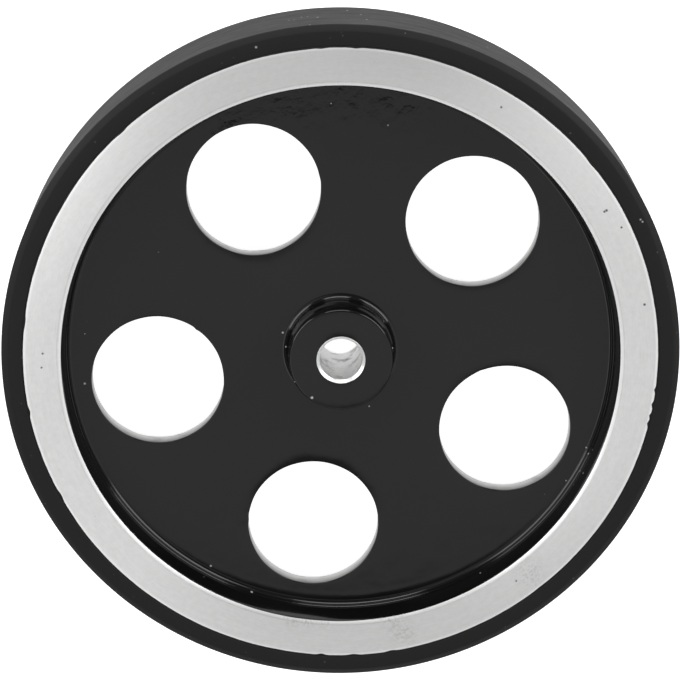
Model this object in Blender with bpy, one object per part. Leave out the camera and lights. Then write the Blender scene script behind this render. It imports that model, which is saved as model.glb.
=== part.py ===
"""Encoder measuring wheel: one cast and turned aluminium wheel, its rubber tyre and two grub screws.

Metres, +Z up. The wheel lies on its back face with its axis along +Z. The origin is on the axis,
in the plane of the back face, and the middle of one web hole is on +Y.
"""

import math

import bmesh
import bpy
from mathutils import Matrix, Vector

# Running surface. One turn rolls off the circumference, which is what the encoder counts.
CIRCUMFERENCE = 0.500
WIDTH = 0.025

# Tyre
TYRE_THICKNESS = 0.0048
SHOULDER_WIDTH = 0.0015      # across the side face, from the tread inwards
SHOULDER_DROP = 0.0010       # along the axis, from the side face to the tread

# Rim
RIM_THICKNESS = 0.0089
RIM_CHAMFER = 0.0008

# Web, nearer the front face than the back one
FRONT_RECESS = 0.0090        # from the rim's front face down to the web
WEB_THICKNESS = 0.0047
CAST_FILLET = 0.0021         # where the web runs into the rim and the hub
DRAFT = math.radians(3.0)    # of the walls that the mould draws off

# Round holes through the web
HOLE_COUNT = 5
HOLE_DIAMETER = 0.0316
HOLE_PITCH_RADIUS = 0.0441
HOLE_EDGE_BREAK = 0.0004
FIRST_HOLE_ANGLE = math.radians(90.0)

# Hub, for a 10 mm shaft
HUB_DIAMETER = 0.0246        # at its two faces
HUB_FRONT_DROP = 0.0012      # from the rim's front face down to the hub's
HUB_BACK_DROP = 0.0012       # from the rim's back face up to the hub's
HUB_EDGE_RADIUS = 0.0006
BORE_DIAMETER = 0.010
BORE_CHAMFER = 0.0007

# Grub screws in the back boss of the hub, backed off from the bore
SCREW_ANGLES = (math.radians(90.0), math.radians(0.0))
SCREW_DIAMETER = 0.005
SCREW_LENGTH = 0.006
SCREW_BACK_OFF = 0.0006      # from the bore's wall to the screw's point
SCREW_CHAMFER = 0.0005
CUP_DIAMETER = 0.0025
CUP_DEPTH = 0.0006
SOCKET_ACROSS_FLATS = 0.0025
SOCKET_DEPTH = 0.0025

# Fit and fineness
CLEARANCE = 0.0003           # between pieces that seat on each other
OVERRUN = 0.0010             # of a cutter past the face that it cuts
MERGE_DISTANCE = 0.000001
WHEEL_STEPS = 100            # round the wheel
HOLE_STEPS = 48              # round a web hole
SCREW_STEPS = 30             # round a grub screw and its hole
ROUND_STEPS = 4              # along a rounded corner
CHAMFER_STEPS = 1            # a chamfer is a corner rounded in one step
SMOOTH_ANGLE = math.radians(30.0)
SOCKET_SIDES = 6
SOCKET_TILT = math.radians(30.0)

# Places that follow from the sizes above
TREAD_RADIUS = CIRCUMFERENCE / (2 * math.pi)
RIM_RADIUS = TREAD_RADIUS - TYRE_THICKNESS - CLEARANCE
RIM_MOUTH_RADIUS = RIM_RADIUS - RIM_THICKNESS
WEB_FRONT = WIDTH - FRONT_RECESS
WEB_BACK = WEB_FRONT - WEB_THICKNESS
HUB_RADIUS = HUB_DIAMETER / 2
HUB_FRONT = WIDTH - HUB_FRONT_DROP
HUB_BACK = HUB_BACK_DROP
BORE_RADIUS = BORE_DIAMETER / 2
HOLE_RADIUS = HOLE_DIAMETER / 2
SCREW_HEIGHT = (HUB_BACK + WEB_BACK - CAST_FILLET) / 2


def drafted(depth):
    """How far a drafted wall leans over a depth."""
    return depth * math.tan(DRAFT)


def corner_arc(before, corner, after, rounding, steps):
    """Points of the arc that touches both sides of a corner. One step leaves a chamfer."""
    to_before = (before - corner).normalized()
    to_after = (after - corner).normalized()
    half_angle = to_before.angle(to_after) / 2
    bisector = (to_before + to_after).normalized()
    centre = corner + bisector * (rounding / math.sin(half_angle))
    reach = rounding / math.tan(half_angle)
    start = corner + to_before * reach - centre
    sweep = start.angle_signed(corner + to_after * reach - centre)
    turns = (Matrix.Rotation(-sweep * step / steps, 2) for step in range(steps + 1))
    return [centre + turn @ start for turn in turns]


def closed_outline(corners):
    """Radius and height pairs round a closed section. A corner is (radius, height, rounding, steps)."""
    points = []
    for index, (radius, height, rounding, steps) in enumerate(corners):
        before = Vector(corners[index - 1][:2])
        after = Vector(corners[(index + 1) % len(corners)][:2])
        corner = Vector((radius, height))
        if rounding:
            points += corner_arc(before, corner, after, rounding, steps)
        else:
            points.append(corner)
    return points


def sharp(radius, height):
    return radius, height, 0, 0


def rounded(radius, height, rounding):
    return radius, height, rounding, ROUND_STEPS


def chamfered(radius, height, leg):
    return radius, height, leg, CHAMFER_STEPS


def turned_mesh(name, outline, steps, closed=True):
    """A mesh turned about Z from an outline. An open outline starts and ends on the axis."""
    work = bmesh.new()
    verts = [work.verts.new((radius, 0, height)) for radius, height in outline]
    pairs = list(zip(verts, verts[1:]))
    if closed:
        pairs.append((verts[-1], verts[0]))
    edges = [work.edges.new(pair) for pair in pairs]
    bmesh.ops.spin(work, geom=verts + edges, cent=(0, 0, 0), axis=(0, 0, 1),
                   angle=2 * math.pi, steps=steps, use_merge=True)
    bmesh.ops.remove_doubles(work, verts=work.verts, dist=MERGE_DISTANCE)
    bmesh.ops.recalc_face_normals(work, faces=work.faces)
    mesh = bpy.data.meshes.new(name)
    work.to_mesh(mesh)
    work.free()
    return mesh


def add_object(name, mesh, place=Matrix.Identity(4)):
    piece = bpy.data.objects.new(name, mesh)
    piece.matrix_world = place
    bpy.context.scene.collection.objects.link(piece)
    return piece


def add_cutter(name, mesh, place):
    cutter = add_object(name, mesh, place)
    cutter.hide_render = True
    cutter.display_type = "WIRE"
    return cutter


def cut(piece, cutters):
    """Takes the cutters out of the piece. The cut walls keep the cutter's material."""
    for cutter in cutters:
        modifier = piece.modifiers.new(cutter.name, "BOOLEAN")
        modifier.operation = "DIFFERENCE"
        modifier.solver = "EXACT"
        modifier.material_mode = "TRANSFER"
        modifier.object = cutter
    bpy.context.view_layer.update()
    whole = piece.evaluated_get(bpy.context.evaluated_depsgraph_get())
    piece.data = bpy.data.meshes.new_from_object(whole)
    piece.modifiers.clear()
    for cutter in cutters:
        bpy.data.objects.remove(cutter)


def shade(piece):
    piece.data.shade_smooth()
    piece.data.set_sharp_from_angle(angle=SMOOTH_ANGLE)


def make_material(name, colour, roughness, metallic):
    material = bpy.data.materials.new(name)
    material.use_nodes = True
    shader = material.node_tree.nodes["Principled BSDF"]
    shader.inputs["Base Color"].default_value = (*colour, 1)
    shader.inputs["Roughness"].default_value = roughness
    shader.inputs["Metallic"].default_value = metallic
    return material


def wheel_section():
    """Half section of the casting: rim, web and hub, with drafted walls and cast fillets."""
    rim_foot_front = RIM_MOUTH_RADIUS - drafted(FRONT_RECESS)
    rim_foot_back = RIM_MOUTH_RADIUS - drafted(WEB_BACK)
    hub_foot_front = HUB_RADIUS + drafted(HUB_FRONT - WEB_FRONT)
    hub_foot_back = HUB_RADIUS + drafted(WEB_BACK - HUB_BACK)
    return closed_outline([
        sharp(RIM_RADIUS, WIDTH),
        sharp(RIM_RADIUS, 0),
        chamfered(RIM_MOUTH_RADIUS, 0, RIM_CHAMFER),
        rounded(rim_foot_back, WEB_BACK, CAST_FILLET),
        rounded(hub_foot_back, WEB_BACK, CAST_FILLET),
        rounded(HUB_RADIUS, HUB_BACK, HUB_EDGE_RADIUS),
        chamfered(BORE_RADIUS, HUB_BACK, BORE_CHAMFER),
        chamfered(BORE_RADIUS, HUB_FRONT, BORE_CHAMFER),
        rounded(HUB_RADIUS, HUB_FRONT, HUB_EDGE_RADIUS),
        rounded(hub_foot_front, WEB_FRONT, CAST_FILLET),
        rounded(rim_foot_front, WEB_FRONT, CAST_FILLET),
        chamfered(RIM_MOUTH_RADIUS, WIDTH, RIM_CHAMFER),
    ])


def is_turned(face):
    """True on what the lathe leaves bright: the rim outside its drafted walls, and the bore."""
    radius = math.hypot(face.center.x, face.center.y)
    on_rim = radius > RIM_MOUTH_RADIUS
    in_bore = radius < BORE_RADIUS + BORE_CHAMFER
    return on_rim or in_bore


def web_hole_cutters(bright):
    """Spools whose flared ends break the edges of the web holes."""
    flare = HOLE_RADIUS + HOLE_EDGE_BREAK + OVERRUN
    mesh = turned_mesh("web_hole", [
        (0, WEB_FRONT + OVERRUN),
        (flare, WEB_FRONT + OVERRUN),
        (HOLE_RADIUS, WEB_FRONT - HOLE_EDGE_BREAK),
        (HOLE_RADIUS, WEB_BACK + HOLE_EDGE_BREAK),
        (flare, WEB_BACK - OVERRUN),
        (0, WEB_BACK - OVERRUN),
    ], HOLE_STEPS, closed=False)
    mesh.materials.append(bright)
    pitch = 2 * math.pi / HOLE_COUNT
    out = Matrix.Translation((HOLE_PITCH_RADIUS, 0, 0))
    return [
        add_cutter(f"web_hole_{index}", mesh,
                   Matrix.Rotation(FIRST_HOLE_ANGLE + index * pitch, 4, "Z") @ out)
        for index in range(HOLE_COUNT)
    ]


def radial_place(angle, radius):
    """Turns a local +Z outwards along a radius of the hub, at the height of the grub screws."""
    lay_down = Matrix.Rotation(math.pi / 2, 4, "Y")
    move = Matrix.Translation((radius, 0, SCREW_HEIGHT))
    return Matrix.Rotation(angle, 4, "Z") @ move @ lay_down


def screw_hole_cutters(bright):
    """Cylinders from the axis out through the wall of the back boss."""
    radius = SCREW_DIAMETER / 2 + CLEARANCE
    length = HUB_RADIUS + drafted(WEB_BACK - HUB_BACK) + OVERRUN
    mesh = turned_mesh("screw_hole", [(0, length), (radius, length), (radius, 0), (0, 0)],
                       SCREW_STEPS, closed=False)
    mesh.materials.append(bright)
    return [add_cutter(f"screw_hole_{index + 1}", mesh, radial_place(angle, 0))
            for index, angle in enumerate(SCREW_ANGLES)]


def build_wheel_body():
    """The casting, bright where it is turned and bored, and black where the paint is left."""
    paint = make_material("black_paint", (0.026, 0.026, 0.027), 0.32, 0.0)
    bright = make_material("turned_aluminium", (0.72, 0.72, 0.72), 0.34, 1.0)
    mesh = turned_mesh("wheel_body", wheel_section(), WHEEL_STEPS)
    mesh.materials.append(paint)
    mesh.materials.append(bright)
    for face in mesh.polygons:
        face.material_index = int(is_turned(face))
    wheel = add_object("wheel_body", mesh)
    cut(wheel, web_hole_cutters(bright) + screw_hole_cutters(bright))
    shade(wheel)
    return wheel


def build_tyre():
    """A plain rubber ring with a smooth tread and bevelled shoulders, flush with the rim's faces."""
    seat_radius = RIM_RADIUS + CLEARANCE
    face_radius = TREAD_RADIUS - SHOULDER_WIDTH
    mesh = turned_mesh("tyre", [
        (face_radius, WIDTH),
        (TREAD_RADIUS, WIDTH - SHOULDER_DROP),
        (TREAD_RADIUS, SHOULDER_DROP),
        (face_radius, 0),
        (seat_radius, 0),
        (seat_radius, WIDTH),
    ], WHEEL_STEPS)
    mesh.materials.append(make_material("black_rubber", (0.022, 0.022, 0.022), 0.72, 0.0))
    tyre = add_object("tyre", mesh)
    shade(tyre)
    return tyre


def grub_screw_mesh():
    """A headless screw from its cupped point at zero height to its socket end."""
    radius = SCREW_DIAMETER / 2
    return turned_mesh("grub_screw", [
        (0, SCREW_LENGTH),
        (radius - SCREW_CHAMFER, SCREW_LENGTH),
        (radius, SCREW_LENGTH - SCREW_CHAMFER),
        (radius, SCREW_CHAMFER),
        (radius - SCREW_CHAMFER, 0),
        (CUP_DIAMETER / 2, 0),
        (0, CUP_DEPTH),
    ], SCREW_STEPS, closed=False)


def socket_cutter(place):
    """A hexagonal plug that sinks the key socket into the screw's outer end."""
    work = bmesh.new()
    corner_radius = SOCKET_ACROSS_FLATS / 2 / math.cos(math.pi / SOCKET_SIDES)
    depth = SOCKET_DEPTH + OVERRUN
    middle = SCREW_LENGTH - SOCKET_DEPTH + depth / 2
    tilt = Matrix.Rotation(SOCKET_TILT, 4, "Z")
    bmesh.ops.create_cone(work, cap_ends=True, segments=SOCKET_SIDES, radius1=corner_radius,
                          radius2=corner_radius, depth=depth,
                          matrix=Matrix.Translation((0, 0, middle)) @ tilt)
    mesh = bpy.data.meshes.new("key_socket")
    work.to_mesh(mesh)
    work.free()
    return add_cutter("key_socket", mesh, place)


def build_grub_screw(number, angle, steel):
    """One socket set screw, its point short of the shaft, its socket end inside the boss."""
    place = radial_place(angle, BORE_RADIUS + SCREW_BACK_OFF)
    screw = add_object(f"grub_screw_{number}", grub_screw_mesh(), place)
    screw.data.materials.append(steel)
    cut(screw, [socket_cutter(place)])
    shade(screw)
    return screw


def build():
    for leftover in list(bpy.data.objects):
        bpy.data.objects.remove(leftover)
    wheel = build_wheel_body()
    fitted = [build_tyre()]
    steel = make_material("blackened_steel", (0.045, 0.045, 0.048), 0.38, 1.0)
    for index, angle in enumerate(SCREW_ANGLES):
        fitted.append(build_grub_screw(index + 1, angle, steel))
    for piece in fitted:
        piece.parent = wheel


build()
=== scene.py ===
"""Looks of the encoder measuring wheel: a cast and turned aluminium wheel with a black rubber tyre.

The wheel lies on its back face, as it comes to rest, with the face in view upwards. Metres, +Z up.
"""

import math

import bmesh
import bpy
import numpy as np
from mathutils import Matrix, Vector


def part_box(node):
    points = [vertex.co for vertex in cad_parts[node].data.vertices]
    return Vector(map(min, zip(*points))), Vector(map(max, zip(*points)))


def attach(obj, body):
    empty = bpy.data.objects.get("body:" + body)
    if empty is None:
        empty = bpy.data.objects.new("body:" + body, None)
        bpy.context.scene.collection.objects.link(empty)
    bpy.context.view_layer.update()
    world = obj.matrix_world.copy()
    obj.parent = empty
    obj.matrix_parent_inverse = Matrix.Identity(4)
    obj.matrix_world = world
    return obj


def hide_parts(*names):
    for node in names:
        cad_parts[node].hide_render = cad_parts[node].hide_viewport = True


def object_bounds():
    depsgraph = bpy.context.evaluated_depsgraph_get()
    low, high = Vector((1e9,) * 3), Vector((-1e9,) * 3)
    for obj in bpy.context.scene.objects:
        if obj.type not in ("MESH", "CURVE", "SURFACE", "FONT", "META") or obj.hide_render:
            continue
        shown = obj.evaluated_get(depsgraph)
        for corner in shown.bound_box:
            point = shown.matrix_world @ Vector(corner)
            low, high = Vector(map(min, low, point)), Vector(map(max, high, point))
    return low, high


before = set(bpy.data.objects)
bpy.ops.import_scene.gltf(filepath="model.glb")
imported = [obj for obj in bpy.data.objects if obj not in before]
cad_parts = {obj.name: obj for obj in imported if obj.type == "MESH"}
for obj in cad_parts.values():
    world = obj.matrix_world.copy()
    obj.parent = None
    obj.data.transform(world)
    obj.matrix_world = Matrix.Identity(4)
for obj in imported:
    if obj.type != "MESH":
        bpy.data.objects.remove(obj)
cad_low, cad_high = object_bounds()

# The view. A long lens looks down on the wheel from a little off its axis, on the side that is
# upright in the picture. Lengths are from the middle of the front face, angles in degrees.
WIDTH = cad_high.z
PICTURE_TURN = -24.79  # of the picture's upright from +Y, about the axis
CAMERA_OFF_AXIS = 0.18395
CAMERA_ABOVE_FACE = 0.59964
CAMERA_TILT = -16.592
CAMERA_ROLL = -2.703
LENS_MM = 141.72
SENSOR_MM = 36.0


def rotation(degrees, axis):
    """A turn about an axis, as a matrix."""
    return Matrix.Rotation(math.radians(degrees), 4, axis)


camera_data = bpy.data.cameras.new("camera")
camera_data.lens = LENS_MM
camera_data.sensor_width = SENSOR_MM
camera = bpy.data.objects.new("camera", camera_data)
camera.matrix_world = (
    rotation(PICTURE_TURN, "Z")
    @ Matrix.Translation((0, CAMERA_OFF_AXIS, WIDTH + CAMERA_ABOVE_FACE))
    @ rotation(CAMERA_TILT, "X")
    @ rotation(CAMERA_ROLL, "Z")
)
bpy.context.scene.collection.objects.link(camera)
bpy.context.scene.camera = camera
bpy.context.scene.view_settings.view_transform = "Standard"

# The floor. A plain white sheet that runs past the picture on every side and curves up at its edge,
# so that it is the background in low views too. It keeps the wheel's shadow, and a little light of
# its own, seen by eye and in reflections, lifts it to white.
FLOOR_BEND = 1.8  # radius to which it is flat
FLOOR_RADIUS = 3.0
FLOOR_RISE = 0.6
FLOOR_ROWS = 13
FLOOR_SIDES = 72
FLOOR_COLOUR = (0.86, 0.86, 0.86, 1)
FLOOR_GLOW = 0.84
FLOOR_GLOW_MIRRORED = 0.64


def add_node(tree, kind, inputs=(), **settings):
    """A new node, with its settings made and its inputs linked or set by name or number."""
    node = tree.nodes.new(kind)
    for name, value in settings.items():
        setattr(node, name, value)
    for name, value in dict(inputs).items():
        if isinstance(value, bpy.types.NodeSocket):
            tree.links.new(value, node.inputs[name])
        else:
            node.inputs[name].default_value = value
    return node


def maths(tree, operation, *values):
    """The result of one Math node on sockets or numbers."""
    return add_node(tree, "ShaderNodeMath", enumerate(values), operation=operation).outputs[0]


def new_material(name):
    """An empty material and its tree."""
    material = bpy.data.materials.new(name)
    material.use_nodes = True
    material.node_tree.nodes.clear()
    return material, material.node_tree


def with_surface(material, kind, inputs):
    """A material, with a shader of a kind made and linked to its output."""
    shader = add_node(material.node_tree, kind, inputs)
    add_node(material.node_tree, "ShaderNodeOutputMaterial", {"Surface": shader.outputs[0]})
    return material


def floor_material():
    """Matt white, with a glow that only the camera and mirrors see, and mirrors less of it."""
    material, tree = new_material("white_floor")
    rays = add_node(tree, "ShaderNodeLightPath").outputs
    seen = maths(tree, "MULTIPLY", rays["Is Camera Ray"], FLOOR_GLOW)
    mirrored = maths(tree, "MAXIMUM", rays["Is Glossy Ray"], rays["Is Transmission Ray"])
    level = maths(tree, "MULTIPLY_ADD", mirrored, FLOOR_GLOW_MIRRORED, seen)
    paper = add_node(tree, "ShaderNodeBsdfDiffuse", {"Color": FLOOR_COLOUR})
    glow = add_node(tree, "ShaderNodeEmission", {"Strength": level})
    return with_surface(material, "ShaderNodeAddShader", {0: paper.outputs[0], 1: glow.outputs[0]})


def full_turn(steps):
    """Angles of so many even steps round a circle."""
    return np.arange(steps) * 2 * math.pi / steps


def swept_grid(points, angles):
    """A section swept round the axis: (radius cos a, radius sin a, height) on a grid."""
    radius, height = points[:, :1], points[:, 1:]
    return np.stack([radius * np.cos(angles), radius * np.sin(angles), height + 0 * angles], -1)


def grid_quads(rows, columns, closed):
    """Corner indices of the faces of a grid, which may close on itself along its columns."""
    left = np.arange(columns if closed else columns - 1)[None, :]
    right = (left + 1) % columns
    first = np.arange(rows - 1)[:, None] * columns
    return np.stack([first + left, first + right, first + columns + right,
                     first + columns + left], -1).reshape(-1, 4)


def floor_mesh():
    """A round sheet: flat to its bend, and rising from there with the square of the way past it."""
    radius = np.linspace(FLOOR_BEND, FLOOR_RADIUS, FLOOR_ROWS)
    height = FLOOR_RISE * ((radius - FLOOR_BEND) / (FLOOR_RADIUS - FLOOR_BEND)) ** 2
    points = swept_grid(np.stack([radius, height], 1), full_turn(FLOOR_SIDES))
    quads = grid_quads(FLOOR_ROWS, FLOOR_SIDES, True)[:, ::-1]
    mesh = bpy.data.meshes.new("floor")
    mesh.from_pydata(points.reshape(-1, 3), [], [list(range(FLOOR_SIDES)), *quads.tolist()])
    mesh.materials.append(floor_material())
    mesh.shade_smooth()
    return mesh


floor = bpy.data.objects.new("floor", floor_mesh())
bpy.context.scene.collection.objects.link(floor)

# The light. A plain white studio: three soft boxes low on the upright side of the picture, whose
# gaps break the bright lines along the glossy fillets, a tall one on the right, two high on the
# left, one on the viewer's side, and a sheet overhead that the wheel's flat faces mirror.
STUDIO_LEVEL = 0.15
LAMP_DISTANCE = 1.6
LAMPS = {
    # name: (bearing, left of the picture's upright; height above the floor; width; rise; level)
    "far_box": (2, 25, 32, 26, 4.3),
    "far_right_box": (-56, 28, 38, 34, 4.3),
    "far_left_box": (61.5, 28, 35, 34, 4.0),
    "right_box": (-110, 46, 44, 42, 0.80),
    "left_box": (118, 58, 46, 16, 1.65),
    "near_box": (180, 34, 60, 40, 0.58),
    "high_left_box": (53, 66, 30, 24, 0.6),
    "overhead_sheet": (180, 74.8, 34, 20.6, 0.45),
    "overhead_middle": (180, 73.8, 34, 15.4, 0.25),
}


def place_lamp(name, bearing, height, width, rise, level):
    """A square-cornered lamp that faces the wheel and fills so many degrees across and upwards.
    Its level is the brightness of its face: its power is pi times the area times the level."""
    data = bpy.data.lights.new(name, "AREA")
    data.shape = "RECTANGLE"
    data.size = 2 * LAMP_DISTANCE * math.tan(math.radians(width / 2))
    data.size_y = 2 * LAMP_DISTANCE * math.tan(math.radians(rise / 2))
    data.energy = level * math.pi * data.size * data.size_y
    lamp = bpy.data.objects.new(name, data)
    lamp.matrix_world = (rotation(PICTURE_TURN + bearing, "Z") @ rotation(height, "X")
                         @ Matrix.Translation((0, LAMP_DISTANCE, 0)) @ rotation(-90, "X"))
    bpy.context.scene.collection.objects.link(lamp)


for lamp_name, lamp_facts in LAMPS.items():
    place_lamp(lamp_name, *lamp_facts)
world = bpy.data.worlds.new("studio")
world.use_nodes = True
world.node_tree.nodes["Background"].inputs["Color"].default_value = (1, 1, 1, 1)
world.node_tree.nodes["Background"].inputs["Strength"].default_value = STUDIO_LEVEL
bpy.context.scene.world = world

# The casting. Rim, web and hub are one aluminium casting. Its five web holes are cut before it is
# sprayed semi-gloss black, so that the paint only mists down their walls. The lathe then faces both
# sides of the rim bright and bores the hub.
rim_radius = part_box("wheel_body")[1].x
RIM_THICKNESS = 0.0089
RIM_CHAMFER_WIDTH = 0.00095  # a shallow cut round the inner edges
RIM_CHAMFER_DEPTH = 0.0003
RIM_EDGE_CHAMFER = 0.00010  # at the outer edges, next to the rubber
FRONT_RECESS = 0.0090
WEB_THICKNESS = 0.0047
CAST_FILLET = 0.0019
RIM_FILLET = 0.0012  # in front, where the rim's wall meets the web
DRAFT_SLOPE = math.tan(math.radians(3.0))
MOUTH_SLOPE = math.tan(math.radians(11.0))  # where the rim's front wall flares to its mouth
MOUTH_FLARE_DEPTH = 0.0070
WALL_LEDGE = 0.00012  # left by the core, above the fillet of the rim's front wall
HUB_RADIUS = 0.0123
HUB_DROP = 0.0012
HUB_EDGE = 0.00056  # rounding of the outer edges of its ends
HUB_FILLET = 0.0014  # in front, where the hub's wall meets the web
HUB_LEDGE = 0.00018  # a sloped step round the front of the hub, where the mould parts
HUB_LEDGE_DEPTH = 0.0058  # from the rim's front face
HUB_LEDGE_SLOPE = math.tan(math.radians(40.0))
HUB_MISMATCH = 0.00035  # how far the mould's halves were out of line there
HUB_MISMATCH_WAY = math.radians(65.0)  # its direction, from +X
BORE_RADIUS = 0.0050
BORE_CHAMFER = 0.0007
TOOL_EDGE = 0.00008  # the small round that is left on a turned edge
HOLE_COUNT = 5
FIRST_HOLE = 90.0  # degrees from +X
HOLE_RADIUS = 0.0157
HOLE_PITCH = 0.0441  # radius of the circle on which the holes' middles lie
HOLE_EDGE = 0.00022  # rounding of the holes' lips
HOLE_PAINT = 0.0003  # how far the full paint runs down the wall of a hole, past its lip
HOLE_WANDER = 0.00003  # how far a hole's edge strays from a true circle, and its waves
HOLE_WAVES = (3, 11)
HOLE_NICKS = {  # by hole: degrees from its outermost point, reach out (+) or in (-), half width
    0: [(250.0, 0.00008, 3.0)],
    1: [(224.5, -0.00022, 1.4), (220.0, -0.00008, 3.5)],
    2: [(276.0, -0.00014, 2.0), (270.5, 0.00010, 2.4)],
    3: [(140.0, 0.00008, 2.0)],
}
SCREW_HOLES = (90.0, 0.0)  # degrees from +X
SCREW_HEIGHT = 0.0052
SCREW_HOLE_ROOT = 0.00284  # radius at the root of its thread
SCREW_HOLE_CREST = 0.00258
THREAD_PITCH = 0.0008
THREAD_STRETCH = 1.35  # of the thread's V, whose crests and roots are then cut flat
THREAD_RUN_OUT = 0.5  # turns over which the thread in a hole starts and ends
BAND_HALF = 0.0032  # half the height of the band round the boss that holds the screw holes
BAND_HALF_ANGLE = 39.0  # half of what each screw hole takes of the band, in degrees
MERGE = 0.0000005  # points nearer than this are welded
CASTING_SHARP = 40.0  # an edge that turns by more degrees than this is shaded sharp
RIM_STEPS = 480
HUB_STEPS = 240
SIDE_STEPS = 32
BAND_STEPS = 12
LIP_STEPS = 5
FILLET_STEPS = 12
FLARE_STEPS = 8
EDGE_STEPS = 6
TOOL_STEPS = 2
FLAT_SHARES = (0.0, 0.35, 0.75)  # where rows lie on the way from a patch's edge to its hole
THREAD_ROWS = 6  # to each turn
PAINT, TURNED, BORED, DRILLED = range(4)  # finishes, as places in the list of materials

rim_mouth = rim_radius - RIM_THICKNESS
web_front = WIDTH - FRONT_RECESS
web_back = web_front - WEB_THICKNESS
band_low = SCREW_HEIGHT - BAND_HALF
band_high = SCREW_HEIGHT + BAND_HALF


def corner_arc(before, corner, after, rounding, steps):
    """Arc of a given radius that touches both sides of a corner: the centre lies on the bisector,
    at rounding / sin(half the corner's angle), and the arc sweeps the angle between the sides."""
    before, corner, after = map(np.asarray, (before, corner, after))
    one = (before - corner) / np.linalg.norm(before - corner)
    two = (after - corner) / np.linalg.norm(after - corner)
    half = math.acos(one @ two) / 2
    middle = (one + two) / np.linalg.norm(one + two)
    centre = corner + middle * rounding / math.sin(half)
    start = corner + one * rounding / math.tan(half) - centre
    end = corner + two * rounding / math.tan(half) - centre
    sweep = math.atan2(start[0] * end[1] - start[1] * end[0], start @ end)
    turns = np.linspace(0, sweep, steps + 1)
    return centre + np.stack([start[0] * np.cos(turns) - start[1] * np.sin(turns),
                              start[0] * np.sin(turns) + start[1] * np.cos(turns)], 1)


def section(corners):
    """An open section through corners (radius, height, rounding, steps, finish): its points, and
    the finish of each stretch between them. A corner's finish holds from its arc onwards."""
    points, finishes = [], []
    for index, (radius, height, rounding, steps, finish) in enumerate(corners):
        arc = np.array([(radius, height)])
        if rounding:
            arc = corner_arc(corners[index - 1][:2], (radius, height), corners[index + 1][:2],
                             rounding, steps)
        points.append(arc)
        finishes += [finish] * len(arc)
    return np.concatenate(points), finishes[:-1]


def ring_angles(steps):
    """Angles of the steps round the wheel. They start on the line between two web holes."""
    return math.radians(FIRST_HOLE - 180 / HOLE_COUNT) + full_turn(steps)


def joined_mesh(name, patches, sharp_degrees):
    """One closed mesh from patches (grid of points, finish of each row of faces, whether it closes
    on itself), welded where their edges meet, with its faces turned outwards. It is shaded smooth,
    but for edges that turn by more than so many degrees."""
    points, quads, finishes, count = [], [], [], 0
    for grid, row_finishes, closed in patches:
        rows, columns = grid.shape[:2]
        points.append(grid.reshape(-1, 3))
        quads.append(grid_quads(rows, columns, closed) + count)
        finishes.append(np.repeat(row_finishes, columns if closed else columns - 1))
        count += rows * columns
    mesh = bpy.data.meshes.new(name)
    mesh.from_pydata(np.concatenate(points), [], np.concatenate(quads).tolist())
    mesh.polygons.foreach_set("material_index", np.concatenate(finishes).astype(np.int32))
    work = bmesh.new()
    work.from_mesh(mesh)
    bmesh.ops.remove_doubles(work, verts=work.verts, dist=MERGE)
    bmesh.ops.recalc_face_normals(work, faces=work.faces)
    work.to_mesh(mesh)
    work.free()
    mesh.shade_smooth()
    mesh.set_sharp_from_angle(angle=math.radians(sharp_degrees))
    return mesh


def mouth_flare():
    """The rim's front wall from its mouth down to its straight part. Its lean falls evenly with
    depth, so the radius lost is the mouth's slope times (depth - depth squared / twice the flare)."""
    depth = np.linspace(0, MOUTH_FLARE_DEPTH, FLARE_STEPS + 1)[1:]
    lost = MOUTH_SLOPE * (depth - depth ** 2 / (2 * MOUTH_FLARE_DEPTH))
    mouth = WIDTH - RIM_CHAMFER_DEPTH
    return [(rim_mouth - out, mouth - down, 0, 0, PAINT) for out, down in zip(lost, depth)]


def rim_section():
    """From the web's back, round the rim, to the web's front: straight lines between corners that
    are rounded by arcs, and the curved flare of the front wall."""
    foot_back = rim_mouth - web_back * DRAFT_SLOPE
    wall_front = rim_mouth - MOUTH_SLOPE * MOUTH_FLARE_DEPTH / 2
    foot_front = wall_front - WALL_LEDGE
    ledge = web_front + RIM_FILLET
    bright = (TOOL_EDGE, TOOL_STEPS, TURNED)
    return section([
        (foot_back - 2 * CAST_FILLET, web_back, 0, 0, PAINT),
        (foot_back, web_back, CAST_FILLET, FILLET_STEPS, PAINT),
        (rim_mouth, RIM_CHAMFER_DEPTH, *bright),
        (rim_mouth + RIM_CHAMFER_WIDTH, 0, *bright),
        (rim_radius - RIM_EDGE_CHAMFER, 0, *bright),
        (rim_radius, RIM_EDGE_CHAMFER, *bright),
        (rim_radius, WIDTH - RIM_EDGE_CHAMFER, *bright),
        (rim_radius - RIM_EDGE_CHAMFER, WIDTH, *bright),
        (rim_mouth + RIM_CHAMFER_WIDTH, WIDTH, *bright),
        (rim_mouth, WIDTH - RIM_CHAMFER_DEPTH, TOOL_EDGE, TOOL_STEPS, PAINT),
        *mouth_flare(),
        (wall_front, ledge + WALL_LEDGE, 0, 0, PAINT),
        (foot_front, ledge, 0, 0, PAINT),
        (foot_front, web_front, RIM_FILLET, FILLET_STEPS, PAINT),
        (foot_front - 2 * CAST_FILLET, web_front, 0, 0, PAINT),
    ])


def boss_radius(height):
    """Radius of the hub's drafted back wall at a height."""
    return HUB_RADIUS + (height - HUB_DROP) * DRAFT_SLOPE


def bore_radius(height):
    """Radius of the bore, which is the same at every height."""
    return BORE_RADIUS + 0 * height


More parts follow.
